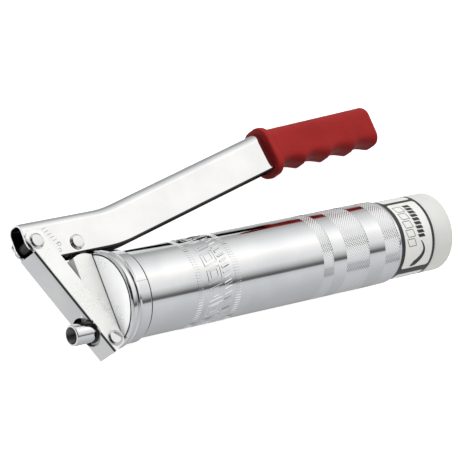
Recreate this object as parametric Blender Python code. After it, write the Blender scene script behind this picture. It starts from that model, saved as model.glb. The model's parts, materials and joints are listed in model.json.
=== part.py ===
"""Lever-type hand grease gun for a screw-in cartridge, lying on its side.

Metres, +Z up. The barrel's axis is the X axis, and the outlet points along +X. The lever
works in the XY plane, on the barrel's -Y side. The origin is the centre of the
cartridge's rear face.
"""

import bmesh
import bpy
from math import acos, asin, atan2, cos, degrees, pi, radians, sin, sqrt, tan, tau
from mathutils import Vector

# ---------------------------------------------------------------- driving dimensions

CLEARANCE = 0.0003

# Barrel and cartridge
BARREL_RADIUS = 0.0290
BARREL_WALL = 0.0008
BARREL_LENGTH = 0.2314
CARTRIDGE_RADIUS = 0.0275
CARTRIDGE_BORE = 0.0262
NECK_RADIUS = 0.0168
NECK_BORE = 0.0125
LABEL_THICKNESS = 0.0003
LABEL_REAR_X = 0.0175
LABEL_LENGTH = 0.2120

# Pump head
HEAD_FACE_X = 0.2900
LIP_RADIUS = 0.0326
LIP_ROUND = 0.0036
SPIGOT_RADIUS = 0.0279
SPIGOT_BORE = 0.0250
SPIGOT_LENGTH = 0.0175
COLLAR_RADIUS = 0.0308
BLOCK_DEPTH = 0.0152
BLOCK_HALF_WIDTH = 0.0076
BLOCK_TOP = 0.0316
BLOCK_ARCH_RISE = 0.0020
BLOCK_FOOT_RADIUS = 0.0052
PUMP_OFFSET = 0.0076
OUTLET_DROP = 0.0182
BOSS_PROUD = 0.0004
PLUNGER_RADIUS = 0.0045
INLET_RADIUS = 0.0040

# Linkage, in the XY plane
LINK_FOOT = Vector((HEAD_FACE_X + 0.0078, 0.0279, 0.0))
LEVER_PIVOT = Vector((HEAD_FACE_X + 0.0393, -0.0451, 0.0))
PLUNGER_PIVOT = Vector((HEAD_FACE_X + PUMP_OFFSET, -0.0399, 0.0))
RIVET_RADIUS = 0.0029
RIVET_HEAD_RADIUS = 0.0052
RIVET_HEAD_HEIGHT = 0.0013

LINK_HALF_WIDTH = 0.0098
LINK_WALL = 0.0018
LINK_BEND = 0.0030
LINK_FRONT = 0.0074
LINK_REAR = 0.0081
LINK_FOOT_END = 0.0060
LINK_WINDOW_RADIUS = 0.0108
LINK_WINDOW_HEIGHT = 0.0138

LEVER_HALF_WIDTH = 0.0075
LEVER_WALL = 0.0015
LEVER_DEPTH = 0.0274
LEVER_CROWN = 0.0062
LEVER_NOSE = 0.0065
LEVER_BASE = -0.0123
LEVER_SLOPE = radians(12.2)
LEVER_BEND_AT = 0.0653
LEVER_BEND_RADIUS = 0.1100
TAIL_SLOPE = radians(2.6)
TAIL_START = 0.2230
TAIL_END = 0.3010
TAIL_BASE = 0.0255
TAIL_DEPTH = 0.0190

GRIP_FRONT = 0.2108
GRIP_END = 0.3113
GRIP_HALF_WIDTH = 0.0112
GRIP_CORNER = 0.0098
GRIP_HEIGHT = 0.0297
GRIP_BELOW_TAIL = 0.0069
FLANGE_HALF_WIDTH = 0.0132
FLANGE_HALF_HEIGHT = 0.0176
FLANGE_CORNER = 0.0105
FLANGE_LENGTH = 0.0078
GROOVE_PITCH = 0.0230
GROOVE_DEPTH = 0.0025
GROOVE_FIRST = 0.2405

# Check valve in the outlet
NOZZLE_RADIUS = 0.0070
NOZZLE_TIP = 0.0324
NOZZLE_THREAD_RADIUS = 0.00475
NOZZLE_RIM = 0.0010
VALVE_BORE = 0.0039
BALL_RADIUS = 0.0024
SPRING_RADIUS = 0.0026
SPRING_WIRE = 0.00025
SPRING_TURNS = 3

# Facets
ROUND_STEPS = 48
MEDIUM_STEPS = 32
SMALL_STEPS = 24

# How far a cutter reaches past the piece that it cuts
BEYOND = 0.0200

# Colours and finishes of the materials: base colour, roughness, metallic
FINISHES = {
    "chrome": ((0.80, 0.81, 0.82), 0.12, 1.0),
    "steel": ((0.55, 0.56, 0.58), 0.25, 1.0),
    "brass": ((0.72, 0.52, 0.24), 0.30, 1.0),
    "red_rubber": ((0.45, 0.02, 0.02), 0.55, 0.0),
    "black_rubber": ((0.02, 0.02, 0.02), 0.65, 0.0),
    "white_plastic": ((0.82, 0.82, 0.80), 0.40, 0.0),
    "label_film": ((0.88, 0.88, 0.86), 0.30, 0.0),
}


# ---------------------------------------------------------------- modelling helpers


def clear_scene():
    for obj in list(bpy.data.objects):
        bpy.data.objects.remove(obj, do_unlink=True)


def material(name, finish):
    """A Principled material of its own for one piece."""
    colour, roughness, metallic = FINISHES[finish]
    made = bpy.data.materials.new(name)
    made.use_nodes = True
    shader = made.node_tree.nodes["Principled BSDF"]
    shader.inputs["Base Color"].default_value = (*colour, 1.0)
    shader.inputs["Roughness"].default_value = roughness
    shader.inputs["Metallic"].default_value = metallic
    made.diffuse_color = (*colour, 1.0)
    return made


def piece(name, bm, finish, location=(0, 0, 0), rotation=(0, 0, 0)):
    """The object made of this bmesh, shaded smooth away from its edges."""
    bmesh.ops.recalc_face_normals(bm, faces=bm.faces)
    mesh = bpy.data.meshes.new(name)
    bm.to_mesh(mesh)
    bm.free()
    mesh.shade_smooth()
    mesh.set_sharp_from_angle(angle=radians(35))
    obj = bpy.data.objects.new(name, mesh)
    obj.location = location
    obj.rotation_euler = rotation
    bpy.context.scene.collection.objects.link(obj)
    if finish:
        mesh.materials.append(material(name, finish))
    return obj


def cutter(name, bm, location=(0, 0, 0), rotation=(0, 0, 0)):
    obj = piece(name, bm, None, location, rotation)
    obj.hide_render = True
    obj.display_type = "WIRE"
    return obj


def combine(obj, other, operation, solver="EXACT"):
    boolean = obj.modifiers.new(other.name, "BOOLEAN")
    boolean.operation = operation
    boolean.object = other
    boolean.solver = solver


def turned(outline, steps=ROUND_STEPS):
    """A solid turned about the X axis from an outline of (x, radius) points.

    An outline that starts and ends on the axis stays open there. Any other is a ring,
    and is closed.
    """
    bm = bmesh.new()
    points = [bm.verts.new((x, 0.0, radius)) for x, radius in outline]
    edges = [bm.edges.new(pair) for pair in zip(points, points[1:])]
    if outline[0][1] > 0.0:
        edges.append(bm.edges.new((points[-1], points[0])))
    bmesh.ops.spin(
        bm, geom=points + edges, cent=(0, 0, 0), axis=(1, 0, 0), angle=tau, steps=steps,
        use_merge=True,
    )
    bmesh.ops.remove_doubles(bm, verts=bm.verts, dist=1e-7)
    return bm


def rod(low, high, radius, steps=SMALL_STEPS):
    return turned([(low, 0.0), (low, radius), (high, radius), (high, 0.0)], steps)


def extruded(outline, low, high):
    """A solid with this outline of (x, y) points, from z = low to z = high."""
    bm = bmesh.new()
    face = bm.faces.new([bm.verts.new((x, y, low)) for x, y in outline])
    grown = bmesh.ops.extrude_face_region(bm, geom=[face])
    moved = [item for item in grown["geom"] if isinstance(item, bmesh.types.BMVert)]
    bmesh.ops.translate(bm, verts=moved, vec=(0, 0, high - low))
    return bm


def swept(sections):
    """A solid through closed sections that all have the same number of points."""
    bm = bmesh.new()
    rings = [[bm.verts.new(point) for point in section] for section in sections]
    for ring, following in zip(rings, rings[1:]):
        for i in range(len(ring)):
            j = (i + 1) % len(ring)
            bm.faces.new((ring[i], ring[j], following[j], following[i]))
    bm.faces.new(rings[0])
    bm.faces.new(rings[-1])
    return bm


def arc(centre, radius, start, end, steps):
    """Points on a circle, from the start angle to the end angle, both in degrees."""
    angles = [radians(start + (end - start) * i / steps) for i in range(steps + 1)]
    return [(centre[0] + radius * cos(a), centre[1] + radius * sin(a)) for a in angles]


def forward(distance):
    """The X of a plane this far in front of the head's front face."""
    return HEAD_FACE_X + distance


# ---------------------------------------------------------------- pump head


def block_outline():
    """The pump block in the XY plane: an arched top, and a foot rounded about the link's pivot."""
    half = BLOCK_DEPTH / 2
    arch_radius = (half**2 + BLOCK_ARCH_RISE**2) / (2 * BLOCK_ARCH_RISE)
    span = degrees(asin(half / arch_radius))
    arch_centre = (forward(half), -(BLOCK_TOP - arch_radius))
    top = arc(arch_centre, arch_radius, -90 - span, -90 + span, 8)
    foot_x, foot_y, _ = LINK_FOOT
    foot = arc((foot_x, foot_y), BLOCK_FOOT_RADIUS, 0, 125, 9)
    chamfer_y = foot_y - 0.0066
    heel_y = foot_y + 0.0019
    buried = forward(-0.0010)
    return [(buried, top[0][1]), *top, (forward(BLOCK_DEPTH), chamfer_y), *foot, (buried, heel_y)]


def head_cup_outline():
    """The disc with its rounded lip, the spigot that holds the barrel, and the neck socket."""
    lip = arc((-LIP_ROUND, LIP_RADIUS - LIP_ROUND), LIP_ROUND, 0, 160, 9)
    port = INLET_RADIUS + 0.0006
    seat_radius, seat_front, seat_back = 0.0296, -0.0072, -0.0082
    disc_back, socket_floor, socket_end = -0.0090, -0.0065, -0.0160
    socket_outer, socket_inner = 0.0205, NECK_RADIUS + 0.0004
    half = [
        (0.0, port),
        *lip,
        (seat_front, seat_radius),
        (seat_back, seat_radius),
        (seat_back, SPIGOT_RADIUS),
        (-SPIGOT_LENGTH, SPIGOT_RADIUS),
        (-SPIGOT_LENGTH, SPIGOT_BORE),
        (disc_back, SPIGOT_BORE),
        (disc_back, socket_outer),
        (socket_end, socket_outer),
        (socket_end, socket_inner),
        (socket_floor, socket_inner),
        (socket_floor, port),
    ]
    return [(forward(x), r) for x, r in half]


def make_pump_head():
    """One casting: the disc and spigot, the block, and the passages that cross inside it."""
    # EXACT leaves open edges where the round passages meet inside the block.
    solver = "MANIFOLD"
    head = piece("pump_head", turned(head_cup_outline()), "chrome")
    block = cutter("block", extruded(block_outline(), -BLOCK_HALF_WIDTH, BLOCK_HALF_WIDTH))
    combine(head, block, "UNION", solver)
    boss_start, boss_radius = 0.0100, 0.0072
    boss = rod(forward(boss_start), forward(BLOCK_DEPTH + BOSS_PROUD), boss_radius, MEDIUM_STEPS)
    combine(head, cutter("boss", boss, (0, OUTLET_DROP, 0)), "UNION", solver)

    pump_x = forward(PUMP_OFFSET)
    along_y = (0, 0, pi / 2)
    above, bore_floor = -0.0400, 0.0225
    bore = rod(above, bore_floor, PLUNGER_RADIUS + CLEARANCE, MEDIUM_STEPS)
    combine(head, cutter("pump_bore", bore, (pump_x, 0, 0), along_y), "DIFFERENCE", solver)
    groove_top, groove_floor, groove_radius = -0.0250, -0.0210, 0.0066
    groove = rod(groove_top, groove_floor, groove_radius, MEDIUM_STEPS)
    combine(head, cutter("seal_groove", groove, (pump_x, 0, 0), along_y), "DIFFERENCE", solver)
    inside_socket = -0.0040
    inlet = rod(forward(inside_socket), pump_x, INLET_RADIUS)
    combine(head, cutter("inlet", inlet), "DIFFERENCE", solver)
    counterbore, outside = forward(0.0130), forward(0.0200)
    port_radius, socket_radius = 0.0030, 0.0054
    outlet = turned(
        [
            (pump_x, 0.0),
            (pump_x, port_radius),
            (counterbore, port_radius),
            (counterbore, socket_radius),
            (outside, socket_radius),
            (outside, 0.0),
        ],
        SMALL_STEPS,
    )
    combine(head, cutter("outlet", outlet, (0, OUTLET_DROP, 0)), "DIFFERENCE", solver)
    rivet_hole = rod(-BEYOND, BEYOND, RIVET_RADIUS + CLEARANCE)
    combine(head, cutter("foot_hole", rivet_hole, LINK_FOOT, (0, pi / 2, 0)), "DIFFERENCE", solver)


def make_collar_ring():
    low, high = forward(-SPIGOT_LENGTH), forward(-0.0085)
    bore, chamfer, edge = BARREL_RADIUS + CLEARANCE, 0.0005, COLLAR_RADIUS - 0.0004
    outline = [
        (low, bore),
        (low, edge),
        (low + chamfer, COLLAR_RADIUS),
        (high - chamfer, COLLAR_RADIUS),
        (high, edge),
        (high, bore),
    ]
    piece("collar_ring", turned(outline), "chrome")


def make_head_gasket():
    low, high = forward(-0.0083), forward(-0.0068)
    bore, radius = 0.0100, 0.0165
    outline = [(low, bore), (low, radius), (high, radius), (high, bore)]
    piece("head_gasket", turned(outline, SMALL_STEPS), "black_rubber")


def make_barrel_tube():
    """A thin tube whose rear end rolls inwards to guide the cartridge."""
    front = forward(-0.0086)
    rear = front - BARREL_LENGTH
    inner = BARREL_RADIUS - BARREL_WALL
    roll_depth = 0.0010
    roll_length = 0.0075
    roll_lip = 0.0030
    steps = 4
    turns = [i / steps for i in range(steps + 1)]
    roll_out = [
        (rear + roll_length * (1 - sin(t * pi / 2)), BARREL_RADIUS - roll_depth * (1 - cos(t * pi / 2)))
        for t in turns
    ]
    bore_out = CARTRIDGE_RADIUS + CLEARANCE
    roll_in = [(rear, bore_out), (rear + roll_lip, bore_out), (rear + roll_length, inner)]
    outline = [(front, BARREL_RADIUS), *roll_out, *roll_in, (front, inner)]
    piece("barrel_tube", turned(outline), "chrome")


# ---------------------------------------------------------------- outlet and check valve


def outlet_ring(name, low, high, inner, outer, finish):
    outline = [(low, inner), (low, outer), (high, outer), (high, inner)]
    outline = [(forward(x), r) for x, r in outline]
    piece(name, turned(outline, SMALL_STEPS), finish, (0, OUTLET_DROP, 0))


def make_outlet_nozzle():
    spigot_end, spigot_radius, shoulder, bore_floor = 0.0133, 0.0051, 0.0172, 0.0250
    mouth_depth, mouth_flare = 0.0005, 0.0004
    rim = arc((NOZZLE_TIP - NOZZLE_RIM, NOZZLE_RADIUS - NOZZLE_RIM), NOZZLE_RIM, 90, 0, 5)
    half = [
        (spigot_end, VALVE_BORE),
        (spigot_end, spigot_radius),
        (shoulder, spigot_radius),
        (shoulder, NOZZLE_RADIUS),
        *rim,
        (NOZZLE_TIP, NOZZLE_THREAD_RADIUS + mouth_flare),
        (NOZZLE_TIP - mouth_depth, NOZZLE_THREAD_RADIUS),
        (bore_floor, NOZZLE_THREAD_RADIUS),
        (bore_floor, VALVE_BORE),
    ]
    outline = [(forward(x), r) for x, r in half]
    piece("outlet_nozzle", turned(outline, MEDIUM_STEPS), "chrome", (0, OUTLET_DROP, 0))


def make_valve_ball():
    bm = bmesh.new()
    bmesh.ops.create_uvsphere(bm, u_segments=16, v_segments=10, radius=BALL_RADIUS)
    seated = forward(0.0174)
    piece("valve_ball", bm, "steel", (seated, OUTLET_DROP, 0))


def make_valve_spring():
    """A short compression spring between the ball and its retainer."""
    start, length = 0.0204, 0.0030
    sides, steps = 6, 12 * SPRING_TURNS
    sections = []
    for i in range(steps + 1):
        turn = tau * SPRING_TURNS * i / steps
        outward = Vector((0, cos(turn), sin(turn)))
        centre = Vector((forward(start + length * i / steps), 0, 0)) + outward * SPRING_RADIUS
        sections.append(
            [
                centre + (outward * cos(a) + Vector((sin(a), 0, 0))) * SPRING_WIRE
                for a in (tau * k / sides for k in range(sides))
            ]
        )
    piece("valve_spring", swept(sections), "steel", (0, OUTLET_DROP, 0))


def make_outlet():
    make_outlet_nozzle()
    outlet_ring("outlet_washer", 0.0159, 0.0169, 0.0054, 0.0078, "black_rubber")
    outlet_ring("valve_seat", 0.0136, 0.0152, 0.0015, 0.0036, "brass")
    outlet_ring("spring_retainer", 0.0238, 0.0247, 0.0014, 0.0036, "brass")
    make_valve_ball()
    make_valve_spring()


# ---------------------------------------------------------------- plunger


def make_plunger():
    """The rod, and an eye with a slot that lets the lever's pin swing a little fore and aft."""
    tip, top, chamfer = 0.0140, -0.0355, 0.0010
    outline = [
        (top, 0.0),
        (top, PLUNGER_RADIUS),
        (tip - chamfer, PLUNGER_RADIUS),
        (tip, PLUNGER_RADIUS - chamfer),
        (tip, 0.0),
    ]
    local = [(x - PLUNGER_PIVOT.y, r) for x, r in outline]
    plunger = piece("plunger", turned(local, MEDIUM_STEPS), "steel", PLUNGER_PIVOT, (0, 0, pi / 2))

    slot_shift, slot_half = 0.0016, 0.0017
    slot_radius = RIVET_RADIUS + 0.0011
    eye_half, eye_low, eye_high, eye_thickness = 0.0080, -0.0066, 0.0056, 0.0108
    shoulder = eye_low + 0.0020
    eye = [
        (-slot_shift + x * eye_half, y)
        for x, y in ((-1, shoulder), (-0.75, eye_low), (0.75, eye_low), (1, shoulder))
    ]
    eye += [(-slot_shift + eye_half, eye_high), (-slot_shift - eye_half, eye_high)]
    eye_bm = extruded(eye, -eye_thickness / 2, eye_thickness / 2)
    combine(plunger, cutter("eye", eye_bm, PLUNGER_PIVOT), "UNION")
    slot = arc((-slot_shift + slot_half, 0), slot_radius, -90, 90, 8)
    slot += arc((-slot_shift - slot_half, 0), slot_radius, 90, 270, 8)
    combine(plunger, cutter("eye_slot", extruded(slot, -BEYOND, BEYOND), PLUNGER_PIVOT), "DIFFERENCE")


def make_plunger_seal():
    low, high = -0.0247, -0.0213
    bore, radius = PLUNGER_RADIUS + CLEARANCE, 0.0063
    outline = [(low, bore), (low, radius), (high, radius), (high, bore)]
    bm = turned(outline, SMALL_STEPS)
    piece("plunger_seal", bm, "black_rubber", (forward(PUMP_OFFSET), 0, 0), (0, 0, pi / 2))


# ---------------------------------------------------------------- link


def link_tilt():
    reach = LEVER_PIVOT - LINK_FOOT
    return atan2(reach.x, -reach.y)


def link_length():
    return (LEVER_PIVOT - LINK_FOOT).length


def link_side_outline():
    """The link from the side, in its own frame: its front faces +X, and it runs along -Y."""
    length = link_length()
    end_radius, foot_radius, rear_inset = 0.0078, 0.0071, 0.0050
    top_start = atan2(sqrt(end_radius**2 - LINK_FRONT**2), LINK_FRONT)
    top = arc((0, -length), end_radius, -degrees(top_start), -180, 12)
    rear = [(-LINK_REAR, -length + rear_inset), (-LINK_REAR, -0.0056)]
    foot = [
        (foot_radius * cos(a), foot_radius * sin(a))
        for a in (radians(d) for d in (186, 172, 158, 144, 130, 122))
    ]
    return [*top, *rear, *foot, (LINK_FRONT, LINK_FOOT_END)]


def make_front_link():
    """A folded channel: a web across the front, and a cheek down each side of the block."""
    tilt = link_tilt()
    length = link_length()
    inner_bend = LINK_BEND - LINK_WALL
    side = LINK_HALF_WIDTH
    trim = 0.0010
    rear = -LINK_REAR - trim
    corner = (LINK_FRONT - LINK_BEND, side - LINK_BEND)
    outer = [(rear, side), *arc(corner, LINK_BEND, 90, 0, 5)]
    inner = [*arc(corner, inner_bend, 0, 90, 4), (rear, side - LINK_WALL)]
    mirrored = [(x, -z) for x, z in reversed(outer)]
    section = [*outer, *mirrored, *((x, -z) for x, z in reversed(inner)), *inner]
    ends = (0.0090, -length - 0.0100)
    channel = swept([[(x, y, z) for x, z in section] for y in ends])
    link = piece("front_link", channel, "chrome", LINK_FOOT, (0, 0, tilt))

    outline = extruded(link_side_outline(), -BEYOND, BEYOND)
    combine(link, cutter("link_outline", outline, LINK_FOOT, (0, 0, tilt)), "INTERSECT")

    web_top = -length + 0.0046
    cheek_front = LINK_FRONT - LINK_BEND + 0.0006
    far = 0.1000
    above = [(cheek_front, web_top), (far, web_top), (far, -far), (cheek_front, -far)]
    cut = extruded(above, -BEYOND, BEYOND)
    combine(link, cutter("web_top", cut, LINK_FOOT, (0, 0, tilt)), "DIFFERENCE")

    behind_web = 0.0050
    window = rod(behind_web, BEYOND, LINK_WINDOW_RADIUS, 40)
    window_at = LINK_FOOT + Vector((sin(tilt), -cos(tilt), 0)) * LINK_WINDOW_HEIGHT
    combine(link, cutter("link_window", window, window_at, (0, 0, tilt)), "DIFFERENCE")

    for name, place in (("link_foot_hole", LINK_FOOT), ("link_top_hole", LEVER_PIVOT)):
        hole = rod(-BEYOND, BEYOND, RIVET_RADIUS + CLEARANCE)
        combine(link, cutter(name, hole, place, (0, pi / 2, 0)), "DIFFERENCE")


# ---------------------------------------------------------------- lever and grip


def channel_section(depth, half_width=LEVER_HALF_WIDTH, wall=LEVER_WALL):
    """An upturned channel with a rounded crown, as (side, height) points from its open edge."""
    crown = LEVER_CROWN
    centre = (half_width - crown, depth - crown)
    outer = [(half_width, 0.0), *arc(centre, crown, 0, 90, 5)]
    inner = [(half_width - wall, 0.0), *arc(centre, crown - wall, 0, 90, 4)]
    return [
        *outer,
        *((-s, h) for s, h in reversed(outer)),
        *((-s, h) for s, h in inner),
        *reversed(inner),
    ]


def lever_stations():
    """The lever's open edge as (back, height, slope, depth), from its nose to its tail.

    Back and height are measured from the lever's pivot.
    """
    tangent = LEVER_BEND_RADIUS * tan(LEVER_SLOPE / 2)
    bend_start = LEVER_BEND_AT - tangent
    stations = [(-LEVER_NOSE, LEVER_BASE, 0.0, LEVER_DEPTH)]
    for i in range(6):
        turn = LEVER_SLOPE * i / 5
        back = bend_start + LEVER_BEND_RADIUS * sin(turn)
        height = LEVER_BASE + LEVER_BEND_RADIUS * (1 - cos(turn))
        stations.append((back, height, turn, LEVER_DEPTH))
    full_end = 0.2150
    rise = (full_end - LEVER_BEND_AT) * tan(LEVER_SLOPE)
    stations.append((full_end, LEVER_BASE + rise, LEVER_SLOPE, LEVER_DEPTH))
    stations.append((TAIL_START, TAIL_BASE, TAIL_SLOPE, TAIL_DEPTH))
    tail_rise = (TAIL_END - TAIL_START) * tan(TAIL_SLOPE)
    stations.append((TAIL_END, TAIL_BASE + tail_rise, TAIL_SLOPE, TAIL_DEPTH))
    return stations


def placed(section, back, height, slope):
    """A section's (side, height) points stood square on the lever's run, in the pivot's frame."""
    return [(-(back - h * sin(slope)), -(height + h * cos(slope)), s) for s, h in section]


def nose_cut_outline():
    """What the lever's nose leaves out: below the pivot it is rounded, to swing past the link's web."""
    tilt = link_tilt()
    nose = LEVER_NOSE - CLEARANCE
    web_gap = 0.0006
    turn = tilt + acos((LINK_FRONT - LINK_WALL - web_gap) / nose)
    meet = (nose * cos(turn), nose * sin(turn))
    drop = 0.0120
    foot = (meet[0] - drop * sin(tilt), meet[1] + drop * cos(tilt))
    rounding = [(nose * cos(a), nose * sin(a)) for a in (turn * k / 4 for k in range(5))]
    ahead = LEVER_NOSE + 0.0010
    return [(ahead, 0.0), *rounding, foot, (foot[0], BEYOND), (BEYOND, BEYOND), (BEYOND, 0.0)]


def make_lever():
    sections = [
        placed(channel_section(depth), back, height, slope)
        for back, height, slope, depth in lever_stations()
    ]
    lever = piece("lever", swept(sections), "chrome", LEVER_PIVOT)
    cut = extruded(nose_cut_outline(), -BEYOND, BEYOND)
    combine(lever, cutter("nose_cut", cut, LEVER_PIVOT), "DIFFERENCE")
    for name, place in (("lever_front_hole", LEVER_PIVOT), ("lever_rear_hole", PLUNGER_PIVOT)):
        hole = rod(-BEYOND, BEYOND, RIVET_RADIUS + CLEARANCE)
        combine(lever, cutter(name, hole, place, (0, pi / 2, 0)), "DIFFERENCE")


def rounded_section(low, high, half_width, corner, steps=5):
    """A closed rounded rectangle of (side, height) points."""
    section = []
    for side, height, start in ((1, high, 0), (-1, high, 90), (-1, low, 180), (1, low, 270)):
        centre_height = height - corner if height == high else height + corner
        section += arc((side * (half_width - corner), centre_height), corner, start, start + 90, steps)
    return section


def grip_base(back):
    """The height of the line through the crests between the finger grooves."""
    return TAIL_BASE - GRIP_BELOW_TAIL + (back - TAIL_START) * tan(TAIL_SLOPE)


def flange_stations():
    """The grip's front flange as (back, slope, low, high, half width, corner)."""
    slope = radians(7.0)
    middle = grip_base(GRIP_FRONT) + GRIP_HEIGHT / 2
    stations = []
    for along, inset in ((0.0, 0.0030), (0.13, 0.0012), (0.38, 0.0), (0.70, 0.0003), (1.0, 0.0020)):
        half = FLANGE_HALF_HEIGHT - inset
        width, corner = FLANGE_HALF_WIDTH - inset, FLANGE_CORNER - inset
        back = GRIP_FRONT + along * FLANGE_LENGTH
        stations.append((back, slope, middle - half, middle + half, width, corner))
    return stations


def grip_stations():
    """The grip's outside as (back, slope, low, high, half width, corner), from its front flange."""
    stations = flange_stations()
    neck, end_round = 0.0027, 0.0050
    back = GRIP_FRONT + FLANGE_LENGTH + neck
    while back < GRIP_END - end_round:
        groove = GROOVE_DEPTH * abs(sin(pi * (back - GROOVE_FIRST) / GROOVE_PITCH))
        base = grip_base(back)
        top = base + GRIP_HEIGHT
        stations.append((back, TAIL_SLOPE, base + groove, top, GRIP_HALF_WIDTH, GRIP_CORNER))
        back += GROOVE_PITCH / 8
    for turn in (radians(step) for step in (20, 45, 68, 85)):
        inset = end_round * (1 - cos(turn))
        back = GRIP_END - end_round * (1 - sin(turn))
        base = grip_base(back)
        low, high = base + GROOVE_DEPTH * 0.4 + inset, base + GRIP_HEIGHT - inset
        stations.append((back, TAIL_SLOPE, low, high, GRIP_HALF_WIDTH - inset, GRIP_CORNER - inset))
    return stations


def make_lever_grip():
    """A moulded sleeve with a front flange and finger grooves along its underside."""
    sections = []
    for back, slope, low, high, half_width, corner in grip_stations():
        section = rounded_section(low, high, half_width, corner)
        middle = (low + high) / 2
        sections.append(
            [(-(back - (h - middle) * sin(slope)), -h, s) for s, h in section]
        )
    grip = piece("lever_grip", swept(sections), "red_rubber", LEVER_PIVOT)

    gap = CLEARANCE + 0.0001
    pocket = []
    stations = lever_stations()[-3:]
    first = stations[0]
    lead = 0.0100
    entry = (first[0] - lead, first[1] - lead * tan(LEVER_SLOPE), first[2], first[3])
    last = stations[-1]
    stations = [entry, *stations[:-1], (last[0] + gap, last[1], last[2], last[3])]
    for back, height, slope, depth in stations:
        half = LEVER_HALF_WIDTH + gap
        crown = arc((half - LEVER_CROWN, depth + gap - LEVER_CROWN), LEVER_CROWN, 0, 90, 5)
        section = [(half, -gap), *crown, *((-s, h) for s, h in reversed(crown)), (-half, -gap)]
        pocket.append(placed(section, back, height, slope))
    combine(grip, cutter("grip_pocket", swept(pocket), LEVER_PIVOT), "DIFFERENCE")


# ---------------------------------------------------------------- rivets and sleeve


def make_rivet(name, place, face):
    """A shank with a low domed head outside each face, where face is the half width it clamps."""
    seat = face + CLEARANCE
    top = seat + RIVET_HEAD_HEIGHT
    head = RIVET_HEAD_RADIUS
    dome = [
        (top, 0.0),
        (top, head * 0.55),
        (top - 0.2 * RIVET_HEAD_HEIGHT, head * 0.80),
        (top - 0.5 * RIVET_HEAD_HEIGHT, head * 0.96),
        (top - 0.8 * RIVET_HEAD_HEIGHT, head),
        (seat, head),
        (seat, RIVET_RADIUS),
    ]
    outline = [*dome, *((-x, r) for x, r in reversed(dome))]
    piece(name, turned(outline, SMALL_STEPS), "steel", place, (0, pi / 2, 0))


def make_pivot_sleeve():
    half = LEVER_HALF_WIDTH - LEVER_WALL - CLEARANCE
    inner, outer = RIVET_RADIUS + CLEARANCE, 0.0046
    outline = [(-half, inner), (-half, outer), (half, outer), (half, inner)]
    piece("pivot_sleeve", turned(outline, SMALL_STEPS), "steel", LEVER_PIVOT, (0, pi / 2, 0))


# ---------------------------------------------------------------- cartridge


def make_cartridge_body():
    """A plastic tube with a threaded neck in front, a seat for its label, and a lipped rear end."""
    neck_front = forward(-0.0086)
    shoulder = forward(-0.0180)
    label_front = LABEL_REAR_X + LABEL_LENGTH
    label_seat = CARTRIDGE_RADIUS - LABEL_THICKNESS - CLEARANCE
    lip_radius, lip_depth = 0.0247, 0.0055
    shoulder_radius, chamfer, end_wall = 0.0262, 0.0013, 0.0022
    rim, inset = 0.0025, 0.0002
    rear = arc((rim + inset, CARTRIDGE_RADIUS - rim), rim, 90, 180, 5)
    outline = [
        (neck_front, NECK_BORE),
        (neck_front, NECK_RADIUS),
        (shoulder, NECK_RADIUS),
        (shoulder, shoulder_radius),
        (shoulder - chamfer, CARTRIDGE_RADIUS),
        (label_front, CARTRIDGE_RADIUS),
        (label_front, label_seat),
        (LABEL_REAR_X, label_seat),
        (LABEL_REAR_X, CARTRIDGE_RADIUS),
        *rear,
        (inset, lip_radius),
        (lip_depth, lip_radius),
        (lip_depth, CARTRIDGE_BORE),
        (shoulder - end_wall, CARTRIDGE_BORE),
        (shoulder - 0.0016, NECK_BORE),
    ]
    piece("cartridge_body", turned(outline), "white_plastic")


def make_cartridge_label():
    low, high = LABEL_REAR_X + CLEARANCE, LABEL_REAR_X + LABEL_LENGTH - CLEARANCE
    outer = CARTRIDGE_RADIUS
    inner = outer - LABEL_THICKNESS
    outline = [(low, inner), (low, outer), (high, outer), (high, inner)]
    piece("cartridge_label", turned(outline), "label_film")


def make_cartridge_base():
    """The pressed-in rear cover, with three breather holes round a solid centre."""
    radius, thickness, chamfer = 0.0243, 0.0040, 0.0006
    hole_radius, hole_circle = 0.0015, 0.0140
    edge = radius - 0.0007
    outline = [(0.0, 0.0), (0.0, edge), (chamfer, radius), (thickness, radius), (thickness, 0.0)]
    base = piece("cartridge_base", turned(outline), "white_plastic")
    for i in range(3):
        turn = tau * i / 3
        place = (0, hole_circle * cos(turn), hole_circle * sin(turn))
        hole = rod(-BEYOND, BEYOND, hole_radius, 12)
        combine(base, cutter(f"breather_{i}", hole, place), "DIFFERENCE", "MANIFOLD")


def make_cartridge_piston():
    """The follower that is drawn towards the head as the grease is used."""
    radius = CARTRIDGE_BORE - CLEARANCE
    front, rear, cone = 0.0260, 0.0120, 0.0020
    plate, skirt, flat_radius = 0.0045, 0.0020, 0.0190
    outline = [
        (front, 0.0),
        (front, flat_radius),
        (front - cone, radius),
        (rear, radius),
        (rear, radius - skirt),
        (front - plate, radius - skirt - 0.0002),
        (front - plate, 0.0),
    ]
    piece("cartridge_piston", turned(outline), "white_plastic")


def main():
    clear_scene()
    make_pump_head()
    make_collar_ring()
    make_head_gasket()
    make_barrel_tube()
    make_outlet()
    make_plunger()
    make_plunger_seal()
    make_front_link()
    make_lever()
    make_lever_grip()
    make_rivet("link_head_rivet", LINK_FOOT, LINK_HALF_WIDTH)
    make_rivet("lever_link_rivet", LEVER_PIVOT, LINK_HALF_WIDTH)
    make_rivet("lever_plunger_rivet", PLUNGER_PIVOT, LEVER_HALF_WIDTH)
    make_pivot_sleeve()
    make_cartridge_body()
    make_cartridge_label()
    make_cartridge_base()
    make_cartridge_piston()


main()
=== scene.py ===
import json
from functools import partialmethod
from math import acos, asin, atan2, ceil, cos, degrees, pi, radians, sin, sqrt, tan, tau

import bmesh
import bpy
from mathutils import Matrix, Vector


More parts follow.
